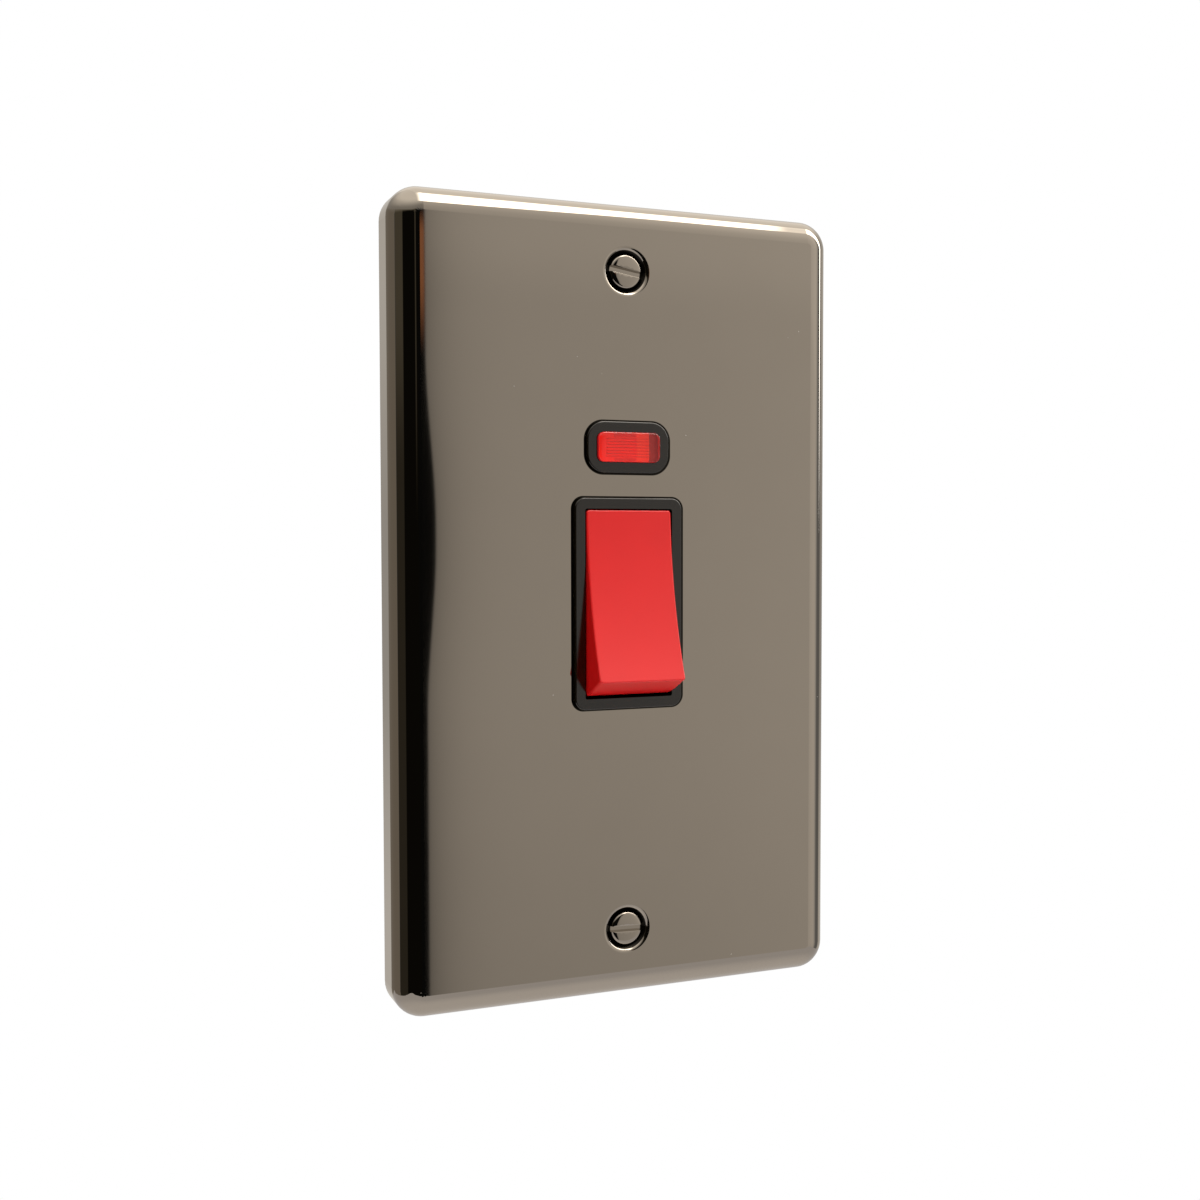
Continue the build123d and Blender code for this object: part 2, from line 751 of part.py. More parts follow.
# Neon lamp: glass capsule with two rod electrodes
with BuildPart() as neon_lamp:
    with BuildSketch(Plane.XY.offset(lamp_z)):
        with BuildLine():
            bend = sqrt(0.5)
            body = lamp_radius
            bulb = body - lamp_glass
            centre = -lamp_front + body
            Line((0, lamp_tail), (body, lamp_tail))
            Line((body, lamp_tail), (body, centre))
            ThreePointArc((body, centre), (body * bend, centre - body * bend), (0, centre - body))
            Line((0, centre - body), (0, centre - bulb))
            ThreePointArc((0, centre - bulb), (bulb * bend, centre - bulb * bend), (bulb, centre))
            Line((bulb, centre), (bulb, -lamp_tail))
            Line((bulb, -lamp_tail), (0, -lamp_tail))
            Line((0, -lamp_tail), (0, lamp_tail))
        make_face()
    revolve(axis=Axis((0, 0, lamp_z), (0, 1, 0)))
neon_lamp.part.label = "neon_lamp"
export_step(neon_lamp.part, "parts/neon_lamp.step")

with BuildPart() as neon_electrodes:
    with BuildSketch(front(lamp_tail)):
        with Locations((-electrode_x, lamp_z), (electrode_x, lamp_z)):
            Circle(electrode_radius)
    extrude(amount=electrode_length)
neon_electrodes.part.label = "neon_electrodes"
export_step(neon_electrodes.part, "parts/neon_electrodes.step")

load_z = box_low + block_length / 2
with BuildPart() as neon_leads:
    for sign in (-1, 1):
        with BuildLine() as run:
            FilletPolyline(
                (sign * electrode_x, lamp_tail, lamp_z),
                (sign * electrode_x, lead_y, lamp_z),
                (sign * lead_x, lead_y, lamp_z),
                (sign * lead_x, lead_y, load_z),
                (sign * lead_x, lead_drop_y, load_z),
                (sign * (block_x + block_width / 2), lead_drop_y, load_z),
                radius=lead_bend,
            )
        with BuildSketch(Plane(origin=run.line @ 0, z_dir=run.line % 0)):
            Circle(lead_radius)
        sweep()
neon_leads.part.label = "neon_leads"
export_step(neon_leads.part, "parts/neon_leads.step")

with BuildPart() as neon_resistor:
    with BuildSketch(Plane.XY.offset(resistor_low)):
        with Locations((lead_x, lead_y)):
            Circle(resistor_radius)
            Circle(lead_radius, mode=Mode.SUBTRACT)
    extrude(amount=resistor_length)
neon_resistor.part.label = "neon_resistor"
export_step(neon_resistor.part, "parts/neon_resistor.step")

# Earth terminal on the back of the plate
with BuildPart() as earth_pillar:
    with BuildSketch(front(-earth_back)):
        with Locations((earth_x, earth_z)):
            Rectangle(earth_width, earth_length)
    extrude(amount=earth_back + plate_depth - sheet)
    with BuildSketch(Plane.XY.offset(earth_z - earth_length / 2)):
        with Locations((earth_x, earth_bore_y)):
            Circle(earth_bore_radius)
    extrude(amount=earth_bore_length, mode=Mode.SUBTRACT)
    with BuildSketch(front(-earth_back)):
        with Locations((earth_x, earth_z)):
            Circle(earth_screw_radius)
    extrude(amount=earth_back - earth_bore_y, mode=Mode.SUBTRACT)
earth_pillar.part.label = "earth_pillar"
export_step(earth_pillar.part, "parts/earth_pillar.step")

with BuildPart() as earth_screw:
    with BuildSketch(front(-earth_back + screw_short)):
        with Locations((earth_x, earth_z)):
            Circle(earth_screw_radius)
    extrude(amount=earth_back - screw_short - earth_bore_y - earth_bore_radius)
    with BuildSketch(front(-earth_back + screw_short)):
        with Locations((earth_x, earth_z)):
            Rectangle(2 * earth_screw_radius + 1, slot_width)
    extrude(amount=slot_depth, mode=Mode.SUBTRACT)
earth_screw.part.label = "earth_screw"
export_step(earth_screw.part, "parts/earth_screw.step")
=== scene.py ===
import bmesh
import bpy
import json
from math import cos, pi, radians, sin, sqrt
from mathutils import Matrix, Vector


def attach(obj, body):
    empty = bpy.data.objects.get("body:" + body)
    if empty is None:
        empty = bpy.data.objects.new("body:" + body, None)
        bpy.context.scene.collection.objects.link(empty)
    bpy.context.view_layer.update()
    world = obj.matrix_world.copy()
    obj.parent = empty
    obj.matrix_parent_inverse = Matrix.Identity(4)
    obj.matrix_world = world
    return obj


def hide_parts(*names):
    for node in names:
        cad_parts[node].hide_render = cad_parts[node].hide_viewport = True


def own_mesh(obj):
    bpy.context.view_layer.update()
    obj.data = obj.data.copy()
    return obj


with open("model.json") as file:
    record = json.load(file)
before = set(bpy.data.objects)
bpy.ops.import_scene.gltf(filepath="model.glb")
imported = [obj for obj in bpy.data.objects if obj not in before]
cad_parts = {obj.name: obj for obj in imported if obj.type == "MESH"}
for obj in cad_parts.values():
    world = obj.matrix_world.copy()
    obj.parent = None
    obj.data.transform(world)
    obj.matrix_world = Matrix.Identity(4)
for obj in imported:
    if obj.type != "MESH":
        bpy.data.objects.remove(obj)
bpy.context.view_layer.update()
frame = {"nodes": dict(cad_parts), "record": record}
nodes = frame["nodes"]
scene = bpy.context.scene
scene.view_settings.view_transform = "Standard"

MM = 0.001
DEGREE = pi / 180
SEAM = 1e-7

# Viewpoint: the camera stands left of the plate's normal and a little above its middle
CAMERA_AT = (-103.30, -261.75, 12.585)
CAMERA_YAW = 23.592
CAMERA_PITCH = -2.525
FOCAL_PIXELS = 1485.9
FRAME_PIXELS = 1200.0
SENSOR = 36.0
AXIS_PIXEL = (660.0, 600.0)
CLIP_START = 0.01

# Plate, in mm
HALF_WIDTH, HALF_HEIGHT, PLATE_DEPTH = 43.0, 73.0, 10.0
EDGE_ROLL = 4.8
SCREW_PITCH = 120.6
DIMPLE_RADIUS = 4.2
DIMPLE_CONE, DIMPLE_RIM = (-0.45, -0.3), (5.0, 5.4)
HALF_SHEET = (0.6, 0.8)
RECESS_INNER, RECESS_OUTER = 2.98, 3.9
ROCKER_FRAME = (21.0, 38.4, 2.0)
LAMP_FRAME = (16.0, 9.3, 3.4)

# Painted shadow line along the gap round the plate's two cut-outs, in mm:
# its reach at the left, at the right, and at top and bottom
ROCKER_GAP_SHADOW = (0.36, 0.8, 0.34)
LAMP_GAP_SHADOW = (0.36, 0.68, 0.34)
EDGE_SOFT = 0.05
FRONT_FROM = (8.3, 8.6)

# Plunger springs in the rocker's stems, in mm
STEM_X, STEM_LEAN = 4.4, 12.5
PIVOT_Y = -7.2
SPRING_SEAT = 1.7

# Neon window and its ribbed back, in mm
LAMP_Z = 28.4
WINDOW_WIDTH, WINDOW_HEIGHT, WINDOW_CORNER = 12.1, 5.4, 1.2
WINDOW_FRONT, WINDOW_SEAT, FLANGE_BACK = -11.7, -9.6, -9.42
WINDOW_EDGE = 0.35
FLANGE_WIDTH, FLANGE_HEIGHT = 13.4, 6.7
PANEL_FRONT, PANEL_BACK = -9.1, -8.6
RIB_PITCH, RIB_COUNT, RIB_LENGTH, RIB_SHIFT = 0.55, 6, 8.35, 0.33
BANDS_FROM, BANDS_X = (1.75, 1.95), (-2.4, 1.95)
LAMP_BLOCK_X = (2.0, 4.45)
OPEN_END_X = (4.4, 4.55)

# Finishes
NICKEL = (0.37, 0.33, 0.28)
# Painted shade in the screw grooves and along the frame gaps
PAINTED_SHADE = (0.02, 0.018, 0.015)
DUST = (0.62, 0.6, 0.57)
DULL_BACK = ((0.36, 0.345, 0.32), (0.46, 0.44, 0.41))
NICKEL_ROUGH, CLOUD_ROUGH, PAINTED_SHADE_ROUGH, DUST_ROUGH = 0.015, 0.01, 0.3, 0.5
BACK_ROUGH, STREAK_ROUGH, STREAK_SCALE = 0.3, 0.12, (30.0, 30.0, 900.0)
LENS_BRIGHT = ((0.92, 0.084, 0.062), (0.98, 0.104, 0.072))
LENS_BAND = (0.64, 0.07, 0.07)
LENS_AT_LAMP = (1.0, 0.19, 0.09)
# Painted shade at the lens back's open end
LENS_OPEN_END_SHADE = (0.4, 0.05, 0.05)
# Painted shade in the lens back's rib valleys
LENS_VALLEY_SHADE = (0.3, 0.03, 0.03)
# Painted glow of the lens back, though it is no lamp
LENS_GLOW = 0.25
SKIN_DEPTH = 0.0001
ACRYLIC_IOR = 1.49


class Sock:
    """A node socket that takes part in arithmetic."""

    def __init__(self, made_in, out):
        self.made_in = made_in
        self.out = out

    def __add__(self, other):
        return self.made_in.maths("ADD", self, other)

    def __radd__(self, other):
        return self.made_in.maths("ADD", other, self)

    def __sub__(self, other):
        return self.made_in.maths("SUBTRACT", self, other)

    def __rsub__(self, other):
        return self.made_in.maths("SUBTRACT", other, self)

    def __mul__(self, other):
        return self.made_in.maths("MULTIPLY", self, other)

    def __rmul__(self, other):
        return self.made_in.maths("MULTIPLY", other, self)

    def __truediv__(self, other):
        return self.made_in.maths("DIVIDE", self, other)

    def __neg__(self):
        return self.made_in.maths("MULTIPLY", self, -1.0)

    def __abs__(self):
        return self.made_in.maths("ABSOLUTE", self)


class Nodes:
    """A node tree whose sockets are joined by expressions."""

    def __init__(self, tree):
        self.tree = tree
        tree.nodes.clear()

    def node(self, kind, settings=None, inputs=None, out=0):
        """Any node: its settings first, then values or links for its sockets."""
        made = self.tree.nodes.new(kind)
        for name, value in (settings or {}).items():
            if name == "choices":
                while len(made.index_switch_items) < value:
                    made.index_switch_items.new()
            else:
                setattr(made, name, value)
        for name, value in (inputs or {}).items():
            for each in value if isinstance(value, list) else [value]:
                if isinstance(each, Sock):
                    self.tree.links.new(each.out, made.inputs[name])
                else:
                    made.inputs[name].default_value = each
        if isinstance(out, tuple):
            return tuple(Sock(self, made.outputs[name]) for name in out)
        return Sock(self, made.outputs[out]) if made.outputs else None

    def maths(self, operation, a, b=0.0):
        return self.node("ShaderNodeMath", {"operation": operation}, {0: a, 1: b})

    def larger(self, a, b):
        return self.maths("MAXIMUM", a, b)

    def above(self, value, low):
        """How far a value rises past a limit, or nothing."""
        return self.larger(value - low, 0.0)

    def length(self, *sides):
        """Length of the diagonal over square sides."""
        total = sides[0] * sides[0]
        for side in sides[1:]:
            total = total + side * side
        return self.maths("SQRT", total)

    def smooth(self, value, low, high):
        """0 below low, 1 above high, and an even bend between them."""
        return self.node(
            "ShaderNodeMapRange",
            {"interpolation_type": "SMOOTHSTEP"},
            {"Value": value, "From Min": low, "From Max": high},
        )

    def band(self, value, low, high, soft):
        """1 between low and high, with soft ends."""
        rise = self.smooth(value, low - soft, low + soft)
        fall = self.smooth(value, high - soft, high + soft)
        return rise * (1.0 - fall)

    def parts(self, vector):
        return self.node("ShaderNodeSeparateXYZ", {}, {0: vector}, out=(0, 1, 2))

    def vector(self, x, y, z):
        return self.node("ShaderNodeCombineXYZ", {}, {0: x, 1: y, 2: z})


class Shader(Nodes):
    """Node tree of a material or of the studio."""

    def place(self):
        return self.node("ShaderNodeTexCoord", out="Object")

    def place_mm(self, place):
        return tuple(part / MM for part in self.parts(place))

    def mix(self, share, a, b):
        return self.node("ShaderNodeMix", {"data_type": "RGBA"}, {0: share, 6: a, 7: b}, out=2)

    def blend(self, share, a, b):
        return self.node("ShaderNodeMixShader", {}, {0: share, 1: a, 2: b})

    def noise(self, place, scale, detail=2.0, rough=0.5):
        return self.node(
            "ShaderNodeTexNoise",
            {},
            {"Vector": place, "Scale": scale, "Detail": detail, "Roughness": rough},
        )

    def stretched(self, place, scale):
        return self.node("ShaderNodeMapping", {}, {"Vector": place, "Scale": scale})

    def bump(self, height, strength):
        return self.node(
            "ShaderNodeBump", {}, {"Strength": strength, "Distance": SKIN_DEPTH, "Height": height}
        )

    def specks(self, place, scale, size, share):
        """Mask of a few tiny specks scattered over a surface."""
        near, colour = self.node(
            "ShaderNodeTexVoronoi", {}, {"Vector": place, "Scale": scale}, out=("Distance", "Color")
        )
        pick = self.node("ShaderNodeSeparateColor", {}, {"Color": colour})
        chosen = self.smooth(pick, 1.0 - share, 1.01 - share)
        return (1.0 - self.smooth(near, size * 0.5, size)) * chosen

    def surface(self, inputs):
        return self.node("ShaderNodeBsdfPrincipled", {}, inputs)

    def shown(self, surface):
        self.node("ShaderNodeOutputMaterial", {}, {"Surface": surface})


class Shape(Nodes):
    """Geometry Nodes tree with named sizes, in mm unless the name says otherwise."""

    def __init__(self, name, sizes):
        super().__init__(bpy.data.node_groups.new(name, "GeometryNodeTree"))
        sockets = self.tree.interface
        for size, value in sizes.items():
            kind = "NodeSocketInt" if isinstance(value, int) else "NodeSocketFloat"
            sockets.new_socket(name=size, in_out="INPUT", socket_type=kind).default_value = value
        sockets.new_socket(name="Finish", in_out="INPUT", socket_type="NodeSocketMaterial")
        sockets.new_socket(name="Geometry", in_out="OUTPUT", socket_type="NodeSocketGeometry")
        self.given = self.tree.nodes.new("NodeGroupInput")

    def size(self, name):
        return Sock(self, self.given.outputs[name])

    def sizes(self, *names):
        return [self.size(name) for name in names]

    def here(self):
        return self.parts(self.node("GeometryNodeInputPosition"))

    def sine(self, angle):
        return self.maths("SINE", angle)

    def cosine(self, angle):
        return self.maths("COSINE", angle)

    def choose(self, index, values):
        inputs = {0: index}
        inputs.update({i + 1: value for i, value in enumerate(values)})
        return self.node(
            "GeometryNodeIndexSwitch", {"data_type": "FLOAT", "choices": len(values)}, inputs
        )

    def moved(self, geometry, x, y, z):
        return self.node(
            "GeometryNodeSetPosition", {}, {"Geometry": geometry, "Position": self.vector(x, y, z)}
        )

    def block(self, x, y, z):
        return self.node("GeometryNodeMeshCube", {}, {"Size": self.vector(x, y, z)})

    def helix(self, radius, height, turns, steps):
        return self.node("GeometryNodeCurveSpiral", {}, {
            "Resolution": steps, "Rotations": turns, "Start Radius": radius, "End Radius": radius,
            "Height": height,
        })

    def swept(self, path, radius, corners):
        """Solid rod along a path, with a round or many-sided section."""
        section = self.node(
            "GeometryNodeCurvePrimitiveCircle", {}, {"Resolution": corners, "Radius": radius}
        )
        return self.node(
            "GeometryNodeCurveToMesh",
            {},
            {"Curve": path, "Profile Curve": section, "Fill Caps": True},
        )

    def joined(self, pieces):
        return self.node("GeometryNodeJoinGeometry", {}, {0: pieces})

    def merged(self, geometry, distance=0.002):
        return self.node(
            "GeometryNodeMergeByDistance", {}, {"Geometry": geometry, "Distance": distance}
        )

    def end(self, geometry):
        """Closes the tree: one plain mesh in its finish."""
        whole = self.node("GeometryNodeRealizeInstances", {}, {"Geometry": geometry})
        dressed = self.node(
            "GeometryNodeSetMaterial", {}, {"Geometry": whole, "Material": self.size("Finish")}
        )
        self.node("NodeGroupOutput", {}, {"Geometry": dressed})
        return self.tree


def finished_piece(name, mesh, sharp):
    """Object with closed seams, outward faces and smooth sides between sharp edges."""
    whole = bmesh.new()
    whole.from_mesh(mesh)
    bmesh.ops.remove_doubles(whole, verts=whole.verts, dist=SEAM)
    bmesh.ops.recalc_face_normals(whole, faces=whole.faces)
    whole.to_mesh(mesh)
    whole.free()
    mesh.shade_smooth()
    mesh.set_sharp_from_angle(angle=radians(sharp))
    piece = bpy.data.objects.new(name, mesh)
    scene.collection.objects.link(piece)
    return piece


def grown(name, tree, finish, sizes, sharp=32.0):
    """Plain mesh piece that a tree makes at the given sizes."""
    carrier = bpy.data.objects.new(name + "_maker", bpy.data.meshes.new(name + "_seed"))
    maker = carrier.modifiers.new("maker", "NODES")
    maker.node_group = tree
    given = dict(sizes, Finish=finish)
    for socket in tree.interface.items_tree:
        if socket.in_out == "INPUT" and socket.name in given:
            maker[socket.identifier] = given[socket.name]
    scene.collection.objects.link(carrier)
    graph = bpy.context.evaluated_depsgraph_get()
    mesh = bpy.data.meshes.new_from_object(carrier.evaluated_get(graph))
    carrier.modifiers.clear()
    bpy.data.objects.remove(carrier)
    return finished_piece(name, mesh, sharp)


def fitted(piece, node, body):
    """Rides a piece on its body in place of the node it stands for."""
    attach(piece, body)
    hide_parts(node)


def material(name):
    made = bpy.data.materials.new(name)
    made.use_nodes = True
    return made, Shader(made.node_tree)


def grey(value):
    return (value, value, value, 1.0)


def tone(colour, share=1.0):
    return tuple(min(1.0, c * share) for c in colour) + (1.0,)


def from_screw_axis(s, x, z):
    """Distance to the nearer fixing screw's axis, in mm."""
    return s.length(x, abs(z) - SCREW_PITCH / 2)


def beside_frame(s, x, z, outline, shadow_reach):
    """Mask of the painted shadow line along the gap round a frame's rounded outline."""
    width, height, corner = outline
    left, right, ends = shadow_reach
    straight_side = width / 2 - corner + (left + right) / 2 - ends
    past_side = s.above(abs(x - (right - left) / 2), straight_side)
    past_end = s.above(abs(z), height / 2 - corner)
    reach = s.length(past_side, past_end) - corner
    return 1.0 - s.smooth(reach, ends - EDGE_SOFT, ends + EDGE_SOFT)


def dark_edges(s, place):
    """Mask of the painted shade in the grooves round the fixing screws' heads and of the painted
    shadow lines round both frames.
    """
    x, y, z = s.place_mm(place)
    groove = s.band(from_screw_axis(s, x, z), RECESS_INNER, RECESS_OUTER, EDGE_SOFT)
    rocker_edge = beside_frame(s, x, z, ROCKER_FRAME, ROCKER_GAP_SHADOW)
    lamp_edge = beside_frame(s, x, z - LAMP_Z, LAMP_FRAME, LAMP_GAP_SHADOW)
    return s.larger(groove, s.larger(rocker_edge, lamp_edge)) * s.smooth(-y, *FRONT_FROM)


def mirror_nickel(name, colour, inside=None):
    """Polished plating with faint clouding, dust, and painted shade in the screw grooves and along
    the frame gaps; inside gives the mask of its dull back.
    """
    made, s = material(name)
    p = s.place()
    cloud = s.noise(p, scale=90.0, detail=3.0)
    dust = s.specks(p, scale=420.0, size=0.045, share=0.045)
    # Painted shade: darker and rougher in the screw grooves and along the frame gaps
    painted_shade = dark_edges(s, p)
    shade = s.mix(cloud, tone(colour, share=0.98), tone(colour, share=1.02))
    shade = s.mix(painted_shade, shade, tone(PAINTED_SHADE))
    rough = NICKEL_ROUGH + CLOUD_ROUGH * cloud + PAINTED_SHADE_ROUGH * painted_shade
    if inside is not None:
        dull = inside(s, p)
        streak = s.noise(s.stretched(p, STREAK_SCALE), scale=1.0, detail=3.0, rough=0.6)
        dark, light = DULL_BACK
        shade = s.mix(dull, shade, s.mix(streak, tone(dark), tone(light)))
        rough = rough + dull * (BACK_ROUGH + STREAK_ROUGH * streak)
    s.shown(s.surface({
        "Base Color": s.mix(dust, shade, tone(DUST)),
        "Metallic": 1.0 - dust,
        "Roughness": rough + DUST_ROUGH * dust,
    }))
    return made


def plate_inside(s, place):
    """Mask of the plate's hollow back: what lies deeper than half the sheet, less the dimples."""
    x, y, z = s.place_mm(place)
    past_side = s.above(abs(x), HALF_WIDTH - EDGE_ROLL)
    past_end = s.above(abs(z), HALF_HEIGHT - EDGE_ROLL)
    past_front = s.above(-y, PLATE_DEPTH - EDGE_ROLL)
    depth = EDGE_ROLL - s.length(past_side, past_end, past_front)
    hollow = s.smooth(depth, *HALF_SHEET)
    off_axis = from_screw_axis(s, x, z)
    cone = -y - (PLATE_DEPTH - DIMPLE_RADIUS) - off_axis
    dimple = s.smooth(cone, *DIMPLE_CONE) * (1.0 - s.smooth(off_axis, *DIMPLE_RIM))
    return hollow * (1.0 - dimple)


def moulding(name, colour, roughness, grain, depth, sheen=0.5, cloud=0.04):
    """Moulded plastic with a fine skin and a faint change of shade."""
    made, s = material(name)
    p = s.place()
    fine = s.noise(p, grain, detail=3.0, rough=0.6)
    broad = s.noise(p, scale=120.0)
    fine_rough, fine_middle = 0.12, 0.5
    s.shown(s.surface({
        "Base Color": s.mix(broad, tone(colour, 1.0 - cloud), tone(colour, 1.0 + cloud)),
        "Roughness": roughness + fine_rough * (fine - fine_middle),
        "Specular IOR Level": sheen,
        "Normal": s.bump(fine, depth),
    }))
    return made


def plain_metal(name, colour, dull, roughness):
    """Bare or zinc-plated metal with dull patches and a fine grain."""
    made, s = material(name)
    p = s.place()
    patch = s.noise(p, scale=350.0, detail=4.0, rough=0.6)
    fine = s.noise(p, scale=2600.0)
    patch_rough, fine_rough = 0.18, 0.08
    s.shown(s.surface({
        "Base Color": s.mix(s.smooth(patch, low=0.4, high=0.7), tone(colour), tone(dull)),
        "Metallic": 1.0,
        "Roughness": roughness + patch_rough * patch + fine_rough * fine,
        "Normal": s.bump(fine, strength=0.12),
    }))
    return made


def window_walls(s, place):
    """Mask of the neon window's side walls, outside its rolled front edge."""
    x, _, z = s.place_mm(place)
    past_side = s.above(abs(x), WINDOW_WIDTH / 2 - WINDOW_CORNER)
    past_end = s.above(abs(z - LAMP_Z), WINDOW_HEIGHT / 2 - WINDOW_CORNER)
    reach = s.length(past_side, past_end)
    starts, full = 0.06, 0.02
    return s.smooth(reach, WINDOW_CORNER - starts, WINDOW_CORNER - full)


def clear_moulding(name, colour, roughness, frosted=None, frost=None):
    """Clear plastic or glass that lets the lamps light what is behind it.

    frosted gives the mask of its matt part, and frost the colour there.
    """
    made, s = material(name)
    p = s.place()
    broad = s.noise(p, scale=300.0)
    haze, matt_rough, matt_cloud = 0.02, 0.4, 0.1
    body = s.surface({
        "Base Color": s.mix(broad, tone(colour, share=0.97), tone(colour)),
        "Roughness": roughness + haze * broad,
        "IOR": ACRYLIC_IOR,
        "Transmission Weight": 1.0,
    })
    let_through = tone(colour, share=0.98)
    open_to_light = s.node("ShaderNodeBsdfTransparent", {}, {"Color": let_through})
    shadow, scattered = s.node("ShaderNodeLightPath", out=("Is Shadow Ray", "Is Diffuse Ray"))
    look = s.blend(s.larger(shadow, scattered), body, open_to_light)
    if frosted is not None:
        matt = s.surface({
            "Base Color": s.mix(broad, tone(frost, share=0.95), tone(frost)),
            "Roughness": matt_rough + matt_cloud * broad,
        })
        look = s.blend(frosted(s, p), look, matt)
    s.shown(look)
    return made


def lens_back(name):
    """Red back of the neon lens: darker bands, painted shade in the rib valleys, orange at the
    lamp, painted shade at an open end, and a painted glow.
    """
    made, s = material(name)
    p = s.place()
    x, _, z = s.place_mm(p)
    z = z - LAMP_Z
    cloud = s.noise(p, scale=900.0)
    deep, light = LENS_BRIGHT
    bands_share, valley_shade_share = 0.8, 0.5
    bands_soft, ribs_soft, block_soft = 0.15, 0.1, 0.08
    plain_rough, cloud_rough = 0.45, 0.1
    bands = s.smooth(abs(z), *BANDS_FROM) * s.band(x, *BANDS_X, bands_soft)
    crest = abs(s.maths("COSINE", (z / RIB_PITCH + (RIB_COUNT - 1) / 2) * pi))
    half_rows = RIB_PITCH * RIB_COUNT / 2
    ribbed = 1.0 - s.smooth(abs(z), half_rows - ribs_soft, half_rows)
    ribbed = ribbed * s.band(x - RIB_SHIFT, -RIB_LENGTH / 2, RIB_LENGTH / 2, ribs_soft)
    # Painted shade in the valleys between the ribs
    valley_shade = ribbed * (1.0 - s.smooth(crest, low=0.2, high=0.85))
    shade = s.mix(cloud, tone(deep), tone(light))
    shade = s.mix(bands * bands_share, shade, tone(LENS_BAND))
    shade = s.mix(s.band(x, *LAMP_BLOCK_X, block_soft), shade, tone(LENS_AT_LAMP))
    # Painted shade where the ribbed back ends open
    shade = s.mix(s.smooth(x, *OPEN_END_X), shade, tone(LENS_OPEN_END_SHADE))
    shade = s.mix(valley_shade * valley_shade_share, shade, tone(LENS_VALLEY_SHADE))
    s.shown(s.surface({
        "Base Color": shade,
        "Roughness": plain_rough + cloud_rough * cloud,
        "Specular IOR Level": 0.2,
        # Painted glow: the lens back gives off light of its own colour though it is no lamp
        "Emission Color": shade,
        "Emission Strength": LENS_GLOW,
    }))
    return made


ZINC = plain_metal("zinc_plate", (0.62, 0.63, 0.64), (0.45, 0.46, 0.47), 0.24)
RED_WINDOW = clear_moulding(
    "clear_red_window", (1.0, 0.3, 0.25), 0.02, window_walls, (0.8, 0.012, 0.02)
)
finishes = {
    "black_nickel": mirror_nickel("black_nickel_plate", NICKEL, plate_inside),
    "black_plastic": moulding(
        "gloss_black_moulding", (0.005, 0.0035, 0.0015), 0.14, 5000.0, 0.03, 0.68
    ),
    "housing_plastic": moulding(
        "white_moulding", (0.78, 0.77, 0.73), 0.46, 3500.0, 0.15, 0.5, 0.02
    ),
    "red_plastic": moulding("red_moulding", (0.72, 0.006, 0.007), 0.3, 4500.0, 0.05, 0.65),
    "red_lens": RED_WINDOW,
    "nylon": moulding("natural_nylon", (0.85, 0.84, 0.78), 0.48, 3000.0, 0.1),
    "steel": ZINC,
    "brass": plain_metal("plain_brass", (0.76, 0.57, 0.27), (0.55, 0.4, 0.2), 0.25),
    "silver": plain_metal("contact_silver", (0.85, 0.85, 0.83), (0.7, 0.7, 0.68), 0.22),
    "lamp_glass": clear_moulding("lamp_glass", (0.96, 0.96, 0.95), 0.01),
    "lead_sleeve": moulding("pale_sleeve", (0.72, 0.71, 0.67), 0.6, 2500.0, 0.2),
    "resistor_body": moulding("tan_resistor", (0.6, 0.48, 0.3), 0.55, 2500.0, 0.2),
}
slots = {part["node"]: part["material_slot"] for part in frame["record"]["subparts"]}
for node, slot in slots.items():
    dressed = nodes[node].data.materials
    dressed.clear()
    dressed.append(finishes[slot])


